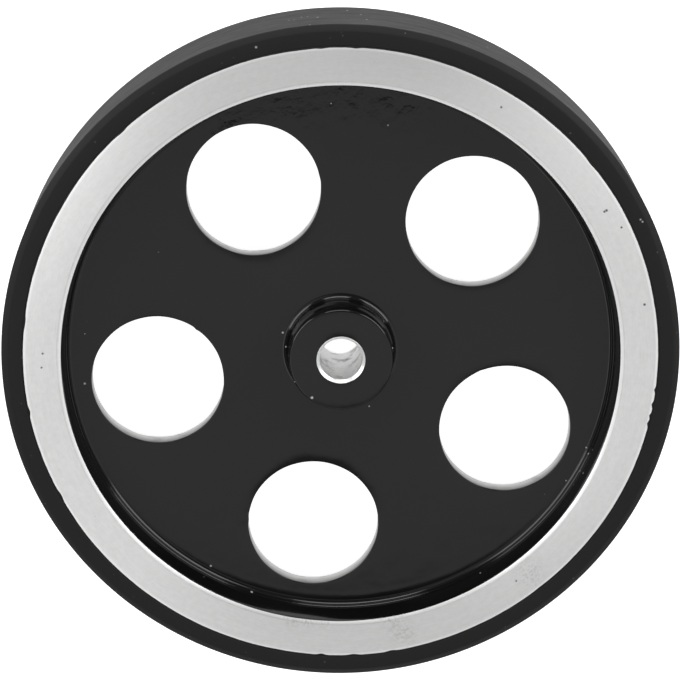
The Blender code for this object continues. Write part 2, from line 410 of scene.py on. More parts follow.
def hub_sections():
    """The hub in three lengths, broken where the band of the screw holes runs round its bore and
    round its back wall: web front to bore, bore to back wall, and back wall to web back."""
    ledge_top = WIDTH - HUB_LEDGE_DEPTH
    foot_front = HUB_RADIUS + HUB_LEDGE + HUB_FILLET * DRAFT_SLOPE
    top, bottom = WIDTH - HUB_DROP, HUB_DROP
    upper = section([
        (foot_front + 2 * HUB_FILLET, web_front, 0, 0, PAINT),
        (foot_front, web_front, HUB_FILLET, FILLET_STEPS, PAINT),
        (HUB_RADIUS + HUB_LEDGE, ledge_top - HUB_LEDGE * HUB_LEDGE_SLOPE, 0, 0, PAINT),
        (HUB_RADIUS, ledge_top, 0, 0, PAINT),
        (HUB_RADIUS, top, HUB_EDGE, EDGE_STEPS, PAINT),
        (BORE_RADIUS + BORE_CHAMFER, top, TOOL_EDGE, TOOL_STEPS, TURNED),
        (BORE_RADIUS, top - BORE_CHAMFER, TOOL_EDGE, TOOL_STEPS, BORED),
        (BORE_RADIUS, band_high, 0, 0, BORED),
    ])
    lower = section([
        (BORE_RADIUS, band_low, 0, 0, BORED),
        (BORE_RADIUS, bottom + BORE_CHAMFER, TOOL_EDGE, TOOL_STEPS, TURNED),
        (BORE_RADIUS + BORE_CHAMFER, bottom, TOOL_EDGE, TOOL_STEPS, PAINT),
        (HUB_RADIUS, bottom, HUB_EDGE, EDGE_STEPS, PAINT),
        (boss_radius(band_low), band_low, 0, 0, PAINT),
    ])
    foot = section([
        (boss_radius(band_high), band_high, 0, 0, PAINT),
        (boss_radius(web_back), web_back, CAST_FILLET, FILLET_STEPS, PAINT),
        (boss_radius(web_back) + 2 * CAST_FILLET, web_back, 0, 0, PAINT),
    ])
    return upper, lower, foot


def slip_foot(grid):
    """Moves the rows between the web and the hub's ledge sideways, by the mould's mismatch."""
    foot = grid[1:FILLET_STEPS + 3]
    foot[..., 0] += HUB_MISMATCH * math.cos(HUB_MISMATCH_WAY)
    foot[..., 1] += HUB_MISMATCH * math.sin(HUB_MISMATCH_WAY)


def rotated_patch(grid, degrees):
    """A patch turned about the axis."""
    turn = math.radians(degrees)
    x, y = grid[..., 0], grid[..., 1]
    return np.stack([x * math.cos(turn) - y * math.sin(turn),
                     x * math.sin(turn) + y * math.cos(turn), grid[..., 2]], -1)


def web_edge(outer, inner):
    """Loop round one hole's share of the web, in the hole's own frame: the outer arc, one side
    line, the inner arc back, and the other side line."""
    share = math.pi / HOLE_COUNT
    outer_arc = np.linspace(-share, share, RIM_STEPS // HOLE_COUNT + 1)
    inner_arc = np.linspace(share, -share, HUB_STEPS // HOLE_COUNT + 1)
    side = np.linspace(outer, inner, SIDE_STEPS + 1)[1:-1]
    radius = np.concatenate([np.full(len(outer_arc), outer), side,
                             np.full(len(inner_arc), inner), side[::-1]])
    angle = np.concatenate([outer_arc, np.full(len(side), share),
                            inner_arc, np.full(len(side), -share)])
    return np.stack([radius * np.cos(angle), radius * np.sin(angle)], 1)


def bells(angles, marks):
    """The sum of bell curves round a circle, each (degrees, height, half width in degrees)."""
    total = np.zeros_like(angles)
    for degrees, height, width in marks:
        away = np.angle(np.exp(1j * (angles - math.radians(degrees))))
        total += height * np.exp(-(away / math.radians(width)) ** 2)
    return total


def hole_outline(number, bearings):
    """Radius of a web hole at bearings round it: true, but for a slow wander, which is the mean of
    two sine waves, and bell-shaped nicks."""
    first, second = HOLE_WAVES
    wander = (np.sin(first * bearings + number) + np.sin(second * bearings + 2 * number)) / 2
    return HOLE_RADIUS + HOLE_WANDER * wander + bells(bearings, HOLE_NICKS.get(number, []))


def hole_patch(number, front_edge, back_edge):
    """The web round one hole: flat from its front edge to the hole, over a rounded lip, down the
    wall, over the back lip and flat to the back edge. Every row has a point on each ray from the
    hole's middle to the front edge."""
    middle = np.array([HOLE_PITCH, 0])
    rays = front_edge - middle
    bearings = np.arctan2(rays[:, 1], rays[:, 0])
    rays = rays / np.linalg.norm(rays, axis=1)[:, None]
    radius = hole_outline(number, bearings)[:, None]
    quarter = np.linspace(0, math.pi / 2, LIP_STEPS + 1)
    lips = list(zip(HOLE_EDGE * (1 - np.sin(quarter)), HOLE_EDGE * (1 - np.cos(quarter))))
    mouth = middle + rays * (radius + HOLE_EDGE)

    def level(outline, height):
        return np.column_stack([outline, np.full(len(rays), height)])

    rows = [level(front_edge + (mouth - front_edge) * share, web_front) for share in FLAT_SHARES]
    rows += [level(middle + rays * (radius + out), web_front - down) for out, down in lips]
    rows.append(level(middle + rays * radius, web_front - HOLE_EDGE - HOLE_PAINT))
    rows += [level(middle + rays * (radius + out), web_back + down) for out, down in lips[::-1]]
    rows += [level(back_edge + (mouth - back_edge) * share, web_back) for share in FLAT_SHARES[::-1]]
    finishes = ([PAINT] * (len(FLAT_SHARES) + LIP_STEPS + 1) + [DRILLED] * (LIP_STEPS + 1)
                + [PAINT] * len(FLAT_SHARES))
    return rotated_patch(np.array(rows), FIRST_HOLE + number * 360 / HOLE_COUNT), finishes, True


def thread_wave(turns):
    """Depth of a V thread with flat crests and roots, from 0 at the crest to 1 at the root, against
    the number of turns: a triangle wave, stretched about its middle and clipped."""
    wave = THREAD_STRETCH * np.abs(2 * (turns % 1) - 1) - (THREAD_STRETCH - 1) / 2
    return np.clip(wave, 0, 1)


def screw_hole_patch(degrees):
    """The boss round one screw hole: over its back wall, in along the thread and over the bore.
    Every row has a point for each point of the edge of the band's window."""
    half = math.radians(BAND_HALF_ANGLE)
    around = np.linspace(-half, half, round(BAND_HALF_ANGLE * HUB_STEPS / 180) + 1)
    rise = np.linspace(band_low, band_high, BAND_STEPS + 1)[1:-1]
    bearing = np.concatenate([around, np.full(len(rise), half), around[::-1],
                              np.full(len(rise), -half)])
    height = np.concatenate([np.full(len(around), band_low), rise,
                             np.full(len(around), band_high), rise[::-1]])
    clock = np.arctan2(height - SCREW_HEIGHT, boss_radius(height) * np.sin(bearing))
    mouth_side = SCREW_HOLE_ROOT * np.cos(clock)
    mouth_height = SCREW_HEIGHT + SCREW_HOLE_ROOT * np.sin(clock)

    def wall_row(radius_at, share):
        """A row on the back wall or in the bore, a share of the way from the window to the hole."""
        edge = radius_at(height) * np.sin(bearing)
        side = edge + (mouth_side - edge) * share
        rising = height + (mouth_height - height) * share
        return np.stack([np.sqrt(radius_at(rising) ** 2 - side ** 2), side, rising], 1)

    outer, inner = wall_row(boss_radius, 1)[:, 0], wall_row(bore_radius, 1)[:, 0]
    turns = round(float((outer.max() - inner.min()) / THREAD_PITCH))
    rows = [wall_row(boss_radius, share) for share in (*FLAT_SHARES, 1)]
    for share in np.linspace(0, 1, turns * THREAD_ROWS + 1)[1:-1]:
        along = outer + (inner - outer) * share
        depth = thread_wave(along / THREAD_PITCH + clock / (2 * math.pi))
        fade = min(1, share * turns / THREAD_RUN_OUT, (1 - share) * turns / THREAD_RUN_OUT)
        reach = SCREW_HOLE_ROOT - (SCREW_HOLE_ROOT - SCREW_HOLE_CREST) * (1 - depth) * fade
        rows.append(np.stack([along, reach * np.cos(clock),
                              SCREW_HEIGHT + reach * np.sin(clock)], 1))
    rows += [wall_row(bore_radius, share) for share in (1, *FLAT_SHARES[::-1])]
    finishes = [PAINT] * len(FLAT_SHARES) + [BORED] * (len(rows) - 1 - len(FLAT_SHARES))
    return rotated_patch(np.array(rows), degrees), finishes, True


def plain_band_patches():
    """The stretches of the band between the screw holes, on the back wall and in the bore."""
    rise = np.linspace(band_low, band_high, BAND_STEPS + 1)
    edges = sorted(SCREW_HOLES)
    patches = []
    for start, end in zip(edges, edges[1:] + [edges[0] + 360]):
        start, end = start + BAND_HALF_ANGLE, end - BAND_HALF_ANGLE
        steps = round((end - start) * HUB_STEPS / 360)
        angles = np.radians(np.linspace(start, end, steps + 1))
        for radius_at, finish in ((boss_radius, PAINT), (bore_radius, BORED)):
            grid = swept_grid(np.stack([radius_at(rise), rise], 1), angles)
            patches.append((grid, [finish] * BAND_STEPS, False))
    return patches


def casting_mesh():
    """Rim and hub, swept round the axis and joined by the web round its holes, by the boss round
    the screw holes and by the stretches of the band between them."""
    rim_points, rim_finishes = rim_section()
    hub = hub_sections()
    patches = [(swept_grid(rim_points, ring_angles(RIM_STEPS)), rim_finishes, True)]
    patches += [(swept_grid(points, ring_angles(HUB_STEPS)), finishes, True)
                for points, finishes in hub]
    slip_foot(patches[1][0])
    front_edge = web_edge(rim_points[-1, 0], hub[0][0][0, 0])
    back_edge = web_edge(rim_points[0, 0], hub[2][0][-1, 0])
    patches += [hole_patch(number, front_edge, back_edge) for number in range(HOLE_COUNT)]
    patches += [screw_hole_patch(degrees) for degrees in SCREW_HOLES]
    patches += plain_band_patches()
    return joined_mesh("casting", patches, CASTING_SHARP)


FLOAT, VECTOR = "NodeSocketFloat", "NodeSocketVector"


def new_group(name, inputs, outputs):
    """An empty node group: its tree, the sockets that bring its inputs and the sockets that take
    its outputs, which are given as names with the kinds of their sockets."""
    tree = bpy.data.node_groups.new(name, "ShaderNodeTree")
    for in_out, sockets in (("INPUT", inputs), ("OUTPUT", outputs)):
        for label, kind in sockets.items():
            tree.interface.new_socket(label, in_out=in_out, socket_type=kind)
    return tree, tree.nodes.new("NodeGroupInput").outputs, tree.nodes.new("NodeGroupOutput").inputs


def around_and_across(tree, place):
    """The unit vector from the axis to a place, the place's radius and its height, worked out from
    Object coordinates."""
    parts = add_node(tree, "ShaderNodeSeparateXYZ", {0: place}).outputs
    flat = add_node(tree, "ShaderNodeCombineXYZ", {"X": parts["X"], "Y": parts["Y"]}).outputs[0]
    radius = add_node(tree, "ShaderNodeVectorMath", {0: flat}, operation="LENGTH").outputs["Value"]
    unit = add_node(tree, "ShaderNodeVectorMath", {0: flat}, operation="NORMALIZE").outputs[0]
    return unit, radius, parts["Z"]


def lathe_lines_group():
    """Lines that a lathe tool leaves: noise at (L cos a, L sin a, P (radius + 2 height)), so that it
    is long round the axis and short across it. A larger Length L gives more of them to a turn, and
    a larger Pitch P more to a metre across."""
    tree, given, result = new_group(
        "lathe_lines", {"Place": VECTOR, "Length": FLOAT, "Pitch": FLOAT}, {"Lines": FLOAT})
    unit, radius, height = around_and_across(tree, given["Place"])
    far = add_node(tree, "ShaderNodeVectorMath", {0: unit, "Scale": given["Length"]},
                   operation="SCALE").outputs[0]
    across = maths(tree, "MULTIPLY", maths(tree, "MULTIPLY_ADD", height, 2.0, radius), given["Pitch"])
    rise = add_node(tree, "ShaderNodeCombineXYZ", {"Z": across}).outputs[0]
    where = add_node(tree, "ShaderNodeVectorMath", {0: far, 1: rise}, operation="ADD").outputs[0]
    noise = add_node(tree, "ShaderNodeTexNoise", {"Vector": where, "Scale": 1.0, "Detail": 3.0,
                     "Roughness": 0.6}).outputs["Fac"]
    tree.links.new(noise, result["Lines"])
    return tree


def specks_group():
    """Small round specks: a cell pattern gives one point to a cell, and a share of the cells, picked
    by the cell's own random value, shows a dot of a given size there. Tone is a second random value
    of the cell."""
    tree, given, result = new_group(
        "specks", {"Place": VECTOR, "Cells": FLOAT, "Size": FLOAT, "Share": FLOAT},
        {"Mask": FLOAT, "Tone": FLOAT})
    cells = add_node(tree, "ShaderNodeTexVoronoi", {"Vector": given["Place"],
                     "Scale": given["Cells"]}).outputs
    size = maths(tree, "MULTIPLY", given["Size"], given["Cells"])
    dot = maths(tree, "SUBTRACT", 1.0, maths(tree, "DIVIDE", cells["Distance"], size))
    parts = add_node(tree, "ShaderNodeSeparateColor", {0: cells["Color"]}).outputs
    picked = maths(tree, "LESS_THAN", parts["Red"], given["Share"])
    tree.links.new(maths(tree, "MULTIPLY", picked, maths(tree, "MAXIMUM", 0.0, dot)), result["Mask"])
    tree.links.new(parts["Green"], result["Tone"])
    return tree


LATHE_LINES = lathe_lines_group()
SPECKS = specks_group()


def lathe_lines(tree, place, length, pitch):
    """Lathe lines, placed in a material."""
    return add_node(tree, "ShaderNodeGroup", {"Place": place, "Length": length, "Pitch": pitch},
                    node_tree=LATHE_LINES).outputs["Lines"]


def specks(tree, place, cells, size, share, strength):
    """Specks, placed in a material, each as strong as its own tone times a given strength."""
    values = {"Place": place, "Cells": cells, "Size": size, "Share": share}
    dots = add_node(tree, "ShaderNodeGroup", values, node_tree=SPECKS).outputs
    return maths(tree, "MULTIPLY", maths(tree, "MULTIPLY", dots["Mask"], dots["Tone"]), strength)


def marks_mask(tree, place, marks):
    """Mask of listed marks, each (radius, degrees round the wheel, height, size): one at the middle of
    a mark, and falling evenly to nothing at its size."""
    mask = 0.0
    for radius, degrees, height, size in marks:
        angle = math.radians(degrees)
        middle = (radius * math.cos(angle), radius * math.sin(angle), height)
        away = add_node(tree, "ShaderNodeVectorMath", {0: place, 1: middle},
                        operation="DISTANCE").outputs["Value"]
        dot = maths(tree, "SUBTRACT", 1.0, maths(tree, "DIVIDE", away, size))
        mask = maths(tree, "MAXIMUM", mask, dot)
    return mask


def spread(tree, value, low, high, to_low=0.0, to_high=1.0):
    """A value mapped from one range to another and held at its ends."""
    return add_node(tree, "ShaderNodeMapRange", {"Value": value, "From Min": low, "From Max": high,
                    "To Min": to_low, "To Max": to_high}).outputs["Result"]


def blend_colour(tree, factor, one, two):
    """A colour between two, by a factor."""
    return add_node(tree, "ShaderNodeMix", {0: factor, 6: one, 7: two}, data_type="RGBA").outputs[2]


def noise_at(tree, place, scale, detail=2.0, roughness=0.5):
    """Plain noise, with so many lumps to a metre."""
    return add_node(tree, "ShaderNodeTexNoise", {"Vector": place, "Scale": scale, "Detail": detail,
                    "Roughness": roughness}).outputs["Fac"]


def bumped(tree, *heights):
    """A normal from heights, each (value, metres from its 0 to its 1)."""
    normal = None
    for value, metres in heights:
        inputs = {"Height": value, "Distance": metres, "Strength": 1.0}
        if normal is not None:
            inputs["Normal"] = normal
        normal = add_node(tree, "ShaderNodeBump", inputs).outputs["Normal"]
    return normal


PAINT_COLOUR = (0.0035, 0.0035, 0.0036, 1)
PAINT_ROUGHNESS = 0.10
PEEL_HEIGHT = 0.000004  # of its orange peel
WAVE_HEIGHT = 0.000045  # of its slow waviness
RUN_HEIGHT = 0.00028
HAZE_SHADE = 0.004  # what a slow haze adds to its colour and roughness
HAZE_ROUGHNESS = 0.04
DUST_COLOUR = (0.42, 0.42, 0.41, 1)
DUST_ROUGHNESS = 0.4
NIB_HEIGHT = 0.00008
NIB_SHADE = 1.6  # above 1, so that the middle of a nib has its full colour
PAINT_NIBS = [  # grit under or on the paint: radius, degrees, height, size
    (0.01435, 134.5, 0.0160, 0.00034), (0.01150, 206.2, 0.0238, 0.00042),
    (0.01320, 271.6, 0.0165, 0.00028), (0.06144, 160.1, 0.0160, 0.00034),
    (0.06306, 212.6, 0.0161, 0.00036), (0.06375, 220.0, 0.0166, 0.00030),
    (0.06468, 223.1, 0.0170, 0.00040), (0.01236, 179.2, 0.0230, 0.00030),
    (0.0597, 64.7, 0.0160, 0.00022), (0.0556, 51.2, 0.0160, 0.00020),
    (0.0607, 148.5, 0.0160, 0.00018), (0.0649, 177.2, 0.0160, 0.00022),
    (0.0640, 310.0, 0.0161, 0.00026), (0.0649, 305.1, 0.0176, 0.00030),
    (0.0648, 309.2, 0.0172, 0.00030), (0.0650, 305.7, 0.0207, 0.00028),
    (0.0637, 301.4, 0.0160, 0.00022), (0.0649, 274.0, 0.0194, 0.00026),
    (0.01234, 339.7, 0.0192, 0.00026), (0.01271, 9.4, 0.0176, 0.00024),
    (0.01556, 268.8, 0.0160, 0.00024), (0.01214, 178.9, 0.0237, 0.00022),
    (0.01303, 147.8, 0.0164, 0.00024),
]
PAINT_RUNS = [  # where the paint lies thick and uneven under the rim
    (0.0625, 50.0, 0.0160, 0.012), (0.0630, 62.0, 0.0160, 0.012),
    (0.0625, 75.0, 0.0160, 0.013), (0.0610, 88.0, 0.0160, 0.010),
]


def paint_material():
    """Sprayed black paint: semi-gloss, with a fine orange peel, a slow waviness, runs and grit."""
    material, tree = new_material("black_paint")
    place = add_node(tree, "ShaderNodeTexCoord").outputs["Object"]
    peel = noise_at(tree, place, scale=900.0, detail=1.0)
    wave = noise_at(tree, place, scale=150.0)
    runs = maths(tree, "MULTIPLY", noise_at(tree, place, scale=330.0, detail=3.0),
                 marks_mask(tree, place, PAINT_RUNS))
    nibs = marks_mask(tree, place, PAINT_NIBS)
    dust = maths(tree, "MAXIMUM",
                 specks(tree, place, cells=260.0, size=0.00028, share=0.05, strength=0.30),
                 maths(tree, "MINIMUM", 1.0, maths(tree, "MULTIPLY", nibs, NIB_SHADE)))
    haze = spread(tree, noise_at(tree, place, scale=35.0, detail=4.0), 0.35, 0.75)
    colour = blend_colour(tree, maths(tree, "MULTIPLY_ADD", haze, HAZE_SHADE, dust),
                          PAINT_COLOUR, DUST_COLOUR)
    roughness = maths(tree, "MULTIPLY_ADD", haze, HAZE_ROUGHNESS, PAINT_ROUGHNESS)
    roughness = maths(tree, "MULTIPLY_ADD", dust, DUST_ROUGHNESS, roughness)
    normal = bumped(tree, (wave, WAVE_HEIGHT), (runs, RUN_HEIGHT), (peel, PEEL_HEIGHT),
                    (nibs, NIB_HEIGHT))
    return with_surface(material, "ShaderNodeBsdfPrincipled", {
        "Base Color": colour, "Roughness": roughness, "Specular IOR Level": 0.36, "Normal": normal})


METAL_COLOUR = (0.87, 0.87, 0.865, 1)
METAL_DARK = (0.50, 0.50, 0.495, 1)
# near-white of the painted highlight along the edges of the rim's face
METAL_EDGE_HIGHLIGHT = (0.99, 0.99, 0.985, 1)
METAL_ROUGHNESS = 0.40
NOISE_RANGE = (0.3, 0.7)  # in which nearly all values of a noise lie
FINE_SHARE = 0.45  # what fine streaks, mottle and broad streaks give to the tone
MOTTLE_SHARE = 0.35
BROAD_SHARE = 0.20
TONE_SHADE = 0.34  # what the tone adds to the metal's darkness and roughness
TONE_ROUGHNESS = 0.10
STREAK_HEIGHT = 0.000006
EDGE_HIGHLIGHT_WIDTH = 0.0008  # width of the painted highlight line along each edge of the rim's face
WITNESS_WIDTH = 0.00014  # half of the fine line where the chamfer meets the face
WITNESS_SHADE = 0.75
SMUDGE_SHADE = 0.65
PIT_COLOUR = (0.03, 0.03, 0.03, 1)
PIT_SHADE = 0.85
PIT_DEPTH = 0.00006
RIM_PITS = [  # casting pits that the facing cut has opened
    (0.07115, 3.2, 0.0250, 0.00042), (0.07060, 3.2, 0.0250, 0.00038),
    (0.07237, 359.0, 0.0250, 0.00034), (0.07207, 343.5, 0.0250, 0.00040),
    (0.07067, 31.5, 0.0250, 0.00036), (0.06956, 279.9, 0.0250, 0.00030),
    (0.06979, 150.8, 0.0250, 0.00032), (0.07011, 153.6, 0.0250, 0.00030),
]
RIM_SMUDGES = [  # greasy handling marks
    (0.0670, 253.4, 0.0250, 0.0040), (0.0702, 254.9, 0.0250, 0.0044),
    (0.0700, 283.0, 0.0250, 0.0050), (0.0661, 232.3, 0.0248, 0.0030),
    (0.0660, 235.6, 0.0248, 0.0022), (0.0660, 239.0, 0.0248, 0.0020),
]


def turned_material():
    """Aluminium faced and turned on the lathe. Its streaks follow the tool round the axis, a painted
    highlight lightens its edges and a finer line runs where the chamfer meets the face."""
    material, tree = new_material("turned_aluminium")
    place = add_node(tree, "ShaderNodeTexCoord").outputs["Object"]
    radius = around_and_across(tree, place)[1]
    fine = lathe_lines(tree, place, length=26.0, pitch=5200.0)
    broad = lathe_lines(tree, place, length=5.0, pitch=1100.0)
    mottle = noise_at(tree, place, scale=750.0, detail=3.0, roughness=0.6)
    tone = maths(tree, "ADD", spread(tree, fine, 0.25, 0.75, 0.0, FINE_SHARE),
                 spread(tree, mottle, *NOISE_RANGE, 0.0, MOTTLE_SHARE))
    tone = maths(tree, "ADD", tone, spread(tree, broad, *NOISE_RANGE, 0.0, BROAD_SHARE))
    colour = blend_colour(tree, maths(tree, "MULTIPLY", tone, TONE_SHADE), METAL_COLOUR, METAL_DARK)
    # Painted highlight: the metal is lightened towards white in a thin line along both edges of the
    # rim's face.
    outer_edge_highlight = spread(tree, radius, rim_radius - EDGE_HIGHLIGHT_WIDTH, rim_radius - EDGE_HIGHLIGHT_WIDTH / 2)
    inner_edge_highlight = spread(tree, radius, rim_mouth + EDGE_HIGHLIGHT_WIDTH, rim_mouth + EDGE_HIGHLIGHT_WIDTH / 2)
    colour = blend_colour(tree, maths(tree, "MAXIMUM", outer_edge_highlight, inner_edge_highlight), colour, METAL_EDGE_HIGHLIGHT)
    witness = maths(tree, "ABSOLUTE", maths(tree, "SUBTRACT", radius, rim_mouth + RIM_CHAMFER_WIDTH))
    witness = spread(tree, witness, 0.0, WITNESS_WIDTH, WITNESS_SHADE, 0.0)
    colour = blend_colour(tree, maths(tree, "MULTIPLY", witness, fine), colour, METAL_DARK)
    broken = spread(tree, noise_at(tree, place, scale=1900.0, detail=3.0), 0.46, 0.64)
    smudge = maths(tree, "MULTIPLY", marks_mask(tree, place, RIM_SMUDGES), broken)
    colour = blend_colour(tree, maths(tree, "MULTIPLY", smudge, SMUDGE_SHADE), colour, METAL_DARK)
    pits = maths(tree, "MAXIMUM", marks_mask(tree, place, RIM_PITS),
                 specks(tree, place, cells=330.0, size=0.00022, share=0.06, strength=0.28))
    pits = spread(tree, pits, 0.0, 0.55)
    colour = blend_colour(tree, maths(tree, "MULTIPLY", pits, PIT_SHADE), colour, PIT_COLOUR)
    roughness = maths(tree, "MULTIPLY_ADD", tone, TONE_ROUGHNESS, METAL_ROUGHNESS)
    normal = bumped(tree, (fine, STREAK_HEIGHT), (mottle, STREAK_HEIGHT), (pits, -PIT_DEPTH))
    tangent = add_node(tree, "ShaderNodeTangent", direction_type="RADIAL", axis="Z").outputs[0]
    return with_surface(material, "ShaderNodeBsdfPrincipled", {
        "Base Color": colour, "Metallic": 1.0, "Roughness": roughness, "Normal": normal,
        "Anisotropic": 0.65, "Anisotropic Rotation": 0.25, "Tangent": tangent})


BORED_COLOURS = (0.86, 0.86, 0.855, 1), (0.66, 0.66, 0.655, 1)
DRILLED_COLOURS = (0.76, 0.76, 0.755, 1), (0.56, 0.56, 0.555, 1)
BORED_ROUGHNESS = (0.34, 0.46)
BORED_LINE_HEIGHT = 0.000008
STAIN_RANGE = (0.54, 0.74)  # of the noise, from bare to fully stained
MIST_END = 0.0005  # above the web's back


def bored_material(name, colours, stain, mist):
    """Bare aluminium of the bore and of the web holes, with tool lines, stains and, down from the
    web's front, a mist of paint."""
    material, tree = new_material(name)
    place = add_node(tree, "ShaderNodeTexCoord").outputs["Object"]
    height = around_and_across(tree, place)[2]
    lines = lathe_lines(tree, place, length=6.0, pitch=2600.0)
    cloud = noise_at(tree, place, scale=250.0, detail=4.0, roughness=0.6)
    stained = maths(tree, "MULTIPLY", spread(tree, cloud, *STAIN_RANGE), stain)
    misted = spread(tree, height, web_back + MIST_END, web_front, 0.0, mist)
    colour = blend_colour(tree, spread(tree, lines, *NOISE_RANGE), *colours)
    colour = blend_colour(tree, stained, colour, PIT_COLOUR)
    colour = blend_colour(tree, misted, colour, PAINT_COLOUR)
    return with_surface(material, "ShaderNodeBsdfPrincipled", {
        "Base Color": colour, "Metallic": 1.0, "Normal": bumped(tree, (lines, BORED_LINE_HEIGHT)),
        "Roughness": spread(tree, cloud, *NOISE_RANGE, *BORED_ROUGHNESS)})


def add_piece(name, mesh, materials, slot, *nodes):
    """Puts a finished mesh into the scene as the piece that stands for its CAD nodes."""
    for material in materials:
        mesh.materials.append(material)
    piece = bpy.data.objects.new(name, mesh)
    bpy.context.scene.collection.objects.link(piece)
    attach(piece, "root")
    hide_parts(*nodes)


add_piece("casting", casting_mesh(), [
    paint_material(), turned_material(),
    bored_material("bored_aluminium", BORED_COLOURS, stain=0.8, mist=0.0),
    bored_material("drilled_aluminium", DRILLED_COLOURS, stain=0.3, mist=0.8),
], "painted_casting", "wheel_body")

# The tyre. A ring of black rubber moulded on the rim, with its tread ground true and bevelled
# shoulders. A thin, torn flash of rubber runs out over the edge of the rim.
tread_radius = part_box("tyre")[1].x
SHOULDER_WIDTH = 0.0015
SHOULDER_DROP = 0.0010
SHOULDER_EDGE = 0.00012  # half of what breaks the corner between side face and bevel
TREAD_EDGE = 0.00010  # the same between bevel and tread
SEAT_GAP = 0.00002  # between the rubber and the rim
FLASH_THICKNESS = 0.00004
FLASH_REACH = 0.00010  # over the rim, on the average
FLASH_WANDER = 0.00010
FLASH_WAVES = (7, 13, 29, 47, 83, 131, 199, 277)  # to a turn of the tyre
SIDE_WANDER = 0.00002  # how far the side faces stray from flat
SIDE_WAVES = (5, 9, 17, 31)
FRONT_SEED = 5
BACK_SEED = 9
JOINT_GROOVE = 0.00012  # depth of the groove between rim and rubber
JOINT_WIDTH = 0.0004
TYRE_STEPS = 1800
TREAD_ROWS = 24
TYRE_SHARP = 24.0
FLASH_TEARS = [  # degrees round the tyre, reach inwards (+) or back (-), half width
    (105.0, 0.00022, 1.2), (137.0, -0.00018, 0.9), (145.0, 0.00020, 1.4), (162.0, 0.00030, 0.8),
    (179.0, 0.00024, 1.1), (197.0, -0.00020, 0.7), (252.0, 0.00026, 1.0), (320.5, 0.00034, 0.5),
    (322.0, 0.00030, 0.4), (324.2, 0.00034, 0.5), (327.0, 0.00028, 0.4), (12.0, 0.00020, 1.2),
    (60.0, 0.00016, 0.7), (66.0, 0.00014, 0.6), (239.0, 0.00030, 0.7), (245.0, 0.00024, 0.9),
]
TREAD_NICK = (249.0, 0.00022, 0.5)  # in the front edge of the tread: degrees, depth, half width
TREAD_NICK_FADE = 8  # power of the height by which it fades towards the back


def slow_noise(angles, seed, waves):
    """A wander round the tyre between -1 and 1: sine waves of rising number and random phase, each
    weaker than the first by the square root of its share of numbers."""
    random = np.random.default_rng(seed)
    total = np.zeros_like(angles)
    for number in waves:
        total += np.sin(number * angles + random.uniform(0, 2 * math.pi)) / math.sqrt(number / waves[0])
    return total / np.abs(total).max()


def tyre_side(angles, face, outward, seed, tears):
    """Rows from the seat over the flash and the side face to the tread's edge, as (radius, height)
    round the tyre. Outward is 1 on the front and -1 on the back."""
    reach = FLASH_REACH + FLASH_WANDER * slow_noise(angles, seed, FLASH_WAVES) + bells(angles, tears)
    uneven = SIDE_WANDER * slow_noise(angles, seed + 1, SIDE_WAVES)
    shoulder = tread_radius - SHOULDER_WIDTH
    slope = SHOULDER_DROP / SHOULDER_WIDTH
    rows = [
        (rim_radius + SEAT_GAP, SEAT_GAP),
        (rim_radius - reach, SEAT_GAP),
        (rim_radius - reach + FLASH_THICKNESS, FLASH_THICKNESS),
        (rim_radius, FLASH_THICKNESS),
        (rim_radius + JOINT_WIDTH / 2, uneven - JOINT_GROOVE),
        (rim_radius + JOINT_WIDTH, uneven),
        (rim_radius + 3 * JOINT_WIDTH, uneven / 2),
        (shoulder - SHOULDER_EDGE + uneven, 0),
        (shoulder + SHOULDER_EDGE + uneven, -SHOULDER_EDGE * slope),
        (tread_radius - TREAD_EDGE, TREAD_EDGE * slope - SHOULDER_DROP),
        (tread_radius, -SHOULDER_DROP - TREAD_EDGE),
    ]
    return [(radius, face + outward * height) for radius, height in rows]


def tyre_mesh():
    """One closed ring: back side face, tread, front side face and the seat on the rim."""
    angles = full_turn(TYRE_STEPS)
    front = tyre_side(angles, WIDTH, 1, FRONT_SEED, FLASH_TEARS)
    back = tyre_side(angles, FLASH_THICKNESS, -1, BACK_SEED, [])
    nick = bells(angles, [TREAD_NICK])
    low_edge, high_edge = back[-1][1], front[-1][1]
    tread = [(tread_radius - nick * share ** TREAD_NICK_FADE, low_edge + (high_edge - low_edge) * share)
             for share in np.linspace(0, 1, TREAD_ROWS + 1)[1:-1]]
    rows = back + tread + front[::-1] + [back[0]]
    grid = np.array([
        np.stack([radius * np.cos(angles), radius * np.sin(angles), height + 0 * angles], 1)
        for radius, height in rows])
    return joined_mesh("tyre_ring", [(grid, [0] * (len(rows) - 1), True)], TYRE_SHARP)


RUBBER_COLOUR = (0.0072, 0.0072, 0.0072, 1)
RUBBER_WORN = (0.034, 0.034, 0.034, 1)
RUBBER_ROUGHNESS = 0.54
CLOUD_ROUGHNESS = 0.12  # what clouds add to it, and what the tread's finish adds
TREAD_ROUGHNESS = 0.14
GRAIN_HEIGHT = 0.000012
TREAD_LINE_HEIGHT = 0.000014
TREAD_START = 0.0002  # depths under the tread at which its finish starts, and is full
TREAD_FULL = 0.00005
TREAD_SCUFF = (1, 1, 0.35)  # the specks on the tread are drawn out across it
TYRE_SPECKS = [  # dust and lint
    (0.07692, 77.1, 0.0250, 0.00036), (0.07732, 358.3, 0.0250, 0.00030),
    (0.07710, 358.8, 0.0250, 0.00030), (0.07893, 52.0, 0.0246, 0.00022),
    (0.07958, 71.2, 0.0138, 0.00026), (0.07958, 69.1, 0.0120, 0.00030),
    (0.07958, 68.1, 0.0123, 0.00024), (0.07958, 66.4, 0.0140, 0.00034),
    (0.07958, 70.3, 0.0143, 0.00022), (0.07958, 67.7, 0.0234, 0.00030),
    (0.07958, 59.2, 0.0107, 0.00030), (0.07958, 58.3, 0.0170, 0.00032),
    (0.07958, 61.4, 0.0059, 0.00034),
]


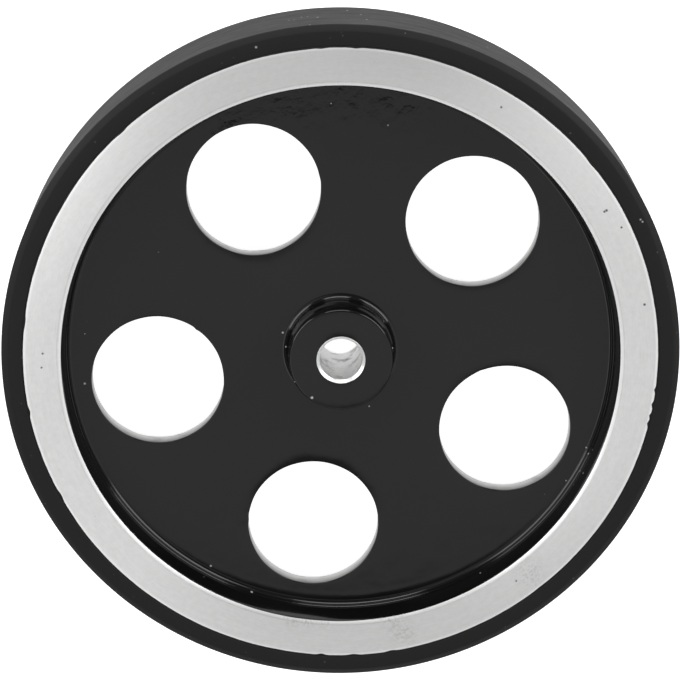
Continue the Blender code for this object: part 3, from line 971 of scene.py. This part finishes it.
def rubber_material():
    """Black rubber: smooth moulded side faces, and a tread ground to a fine dusty grain."""
    material, tree = new_material("black_rubber")
    place = add_node(tree, "ShaderNodeTexCoord").outputs["Object"]
    radius = around_and_across(tree, place)[1]
    tread = spread(tree, radius, tread_radius - TREAD_START, tread_radius - TREAD_FULL)
    lines = lathe_lines(tree, place, length=30.0, pitch=1500.0)
    streaks = lathe_lines(tree, place, length=9.0, pitch=260.0)
    streaks = maths(tree, "MULTIPLY_ADD", streaks, 0.7, maths(tree, "MULTIPLY", lines, 0.3))
    wear = maths(tree, "MULTIPLY", tread, spread(tree, streaks, 0.36, 0.64))
    colour = blend_colour(tree, wear, RUBBER_COLOUR, RUBBER_WORN)
    drawn_out = add_node(tree, "ShaderNodeVectorMath", {0: place, 1: TREAD_SCUFF},
                         operation="MULTIPLY").outputs[0]
    lint = specks(tree, drawn_out, cells=300.0, size=0.0005, share=0.14, strength=0.6)
    dust = specks(tree, place, cells=700.0, size=0.00028, share=0.10, strength=0.22)
    dust = maths(tree, "MAXIMUM", dust, maths(tree, "MULTIPLY", lint, tread))
    dust = maths(tree, "MAXIMUM", dust, marks_mask(tree, place, TYRE_SPECKS))
    colour = blend_colour(tree, dust, colour, DUST_COLOUR)
    cloud = noise_at(tree, place, scale=60.0, detail=3.0)
    roughness = maths(tree, "MULTIPLY_ADD", cloud, CLOUD_ROUGHNESS, RUBBER_ROUGHNESS)
    roughness = maths(tree, "MULTIPLY_ADD", tread, TREAD_ROUGHNESS, roughness)
    grain = noise_at(tree, place, scale=1400.0, detail=3.0, roughness=0.6)
    normal = bumped(tree, (grain, GRAIN_HEIGHT), (lines, TREAD_LINE_HEIGHT))
    return with_surface(material, "ShaderNodeBsdfPrincipled", {
        "Base Color": colour, "Roughness": roughness, "Specular IOR Level": 0.23, "Normal": normal})


add_piece("tyre_ring", tyre_mesh(), [rubber_material()], "rubber", "tyre")

# The grub screws. Two M5 socket set screws of blackened steel in the hub's back boss, a quarter
# turn apart, with cup points that would bear on the shaft. They are backed off clear of the bore.
SCREW_RADIUS = 0.0025
SCREW_LENGTH = 0.0060
SCREW_START = BORE_RADIUS + 0.0006  # of its cup end, from the wheel's axis
SCREW_CHAMFER = 0.0005  # at both ends
THREAD_DEPTH = 0.0004
CUP_RADIUS = 0.00125
CUP_DEPTH = 0.0006
SOCKET_FLATS = 0.0025
SOCKET_DEPTH = 0.0025
SOCKET_POINT = 0.0005  # the drill point at the socket's bottom
SOCKET_BREAK = 0.0001  # at the socket's mouth
SCREW_STEPS = 96
SCREW_SHARP = 30.0


def grub_screw_mesh(name, degrees):
    """One screw as a closed grid: cup, threaded shank, end face, hexagonal socket. The thread is the
    V wave at (height / pitch - angle / turn), and the hexagon's radius at an angle is half the
    flats over the cosine of the angle from the nearest flat's middle."""
    around = full_turn(SCREW_STEPS)
    sixth = math.pi / 3
    hexagon = SOCKET_FLATS / 2 / np.cos((around + sixth / 2) % sixth - sixth / 2)
    rows = [(0, CUP_DEPTH), (CUP_RADIUS, 0)]
    turns = SCREW_LENGTH / THREAD_PITCH
    for height in np.linspace(0, SCREW_LENGTH, round(turns * THREAD_ROWS) + 1):
        end = min(height, SCREW_LENGTH - height)
        crest = SCREW_RADIUS - max(0, SCREW_CHAMFER - end)
        thread = THREAD_DEPTH * thread_wave(height / THREAD_PITCH - around / (2 * math.pi))
        rows.append((np.minimum(crest, SCREW_RADIUS - thread), height))
    rows += [
        (hexagon + SOCKET_BREAK, SCREW_LENGTH), (hexagon, SCREW_LENGTH - SOCKET_BREAK),
        (hexagon, SCREW_LENGTH - SOCKET_DEPTH), (0, SCREW_LENGTH - SOCKET_DEPTH - SOCKET_POINT),
    ]
    grid = np.array([np.stack([SCREW_START + height + 0 * around, radius * np.cos(around),
                               SCREW_HEIGHT + radius * np.sin(around)], 1) for radius, height in rows])
    patch = (rotated_patch(grid, degrees), [0] * (len(rows) - 1), True)
    return joined_mesh(name, [patch], SCREW_SHARP)


STEEL_COLOURS = (0.045, 0.045, 0.048, 1), (0.110, 0.105, 0.100, 1)
STEEL_ROUGHNESS = (0.28, 0.46)
STEEL_GRAIN_HEIGHT = 0.000006


def screw_material():
    """Blackened steel, oily, a little uneven."""
    material, tree = new_material("blackened_steel")
    place = add_node(tree, "ShaderNodeTexCoord").outputs["Object"]
    cloud = noise_at(tree, place, scale=900.0, detail=4.0, roughness=0.6)
    fine = noise_at(tree, place, scale=3500.0)
    return with_surface(material, "ShaderNodeBsdfPrincipled", {
        "Base Color": blend_colour(tree, spread(tree, cloud, *NOISE_RANGE), *STEEL_COLOURS),
        "Metallic": 1.0, "Normal": bumped(tree, (fine, STEEL_GRAIN_HEIGHT)),
        "Roughness": spread(tree, cloud, *NOISE_RANGE, *STEEL_ROUGHNESS)})


blackened_steel = screw_material()
for number, screw_angle in enumerate(SCREW_HOLES, start=1):
    add_piece(f"set_screw_{number}", grub_screw_mesh(f"set_screw_{number}", screw_angle),
              [blackened_steel], "screw_steel", f"grub_screw_{number}")
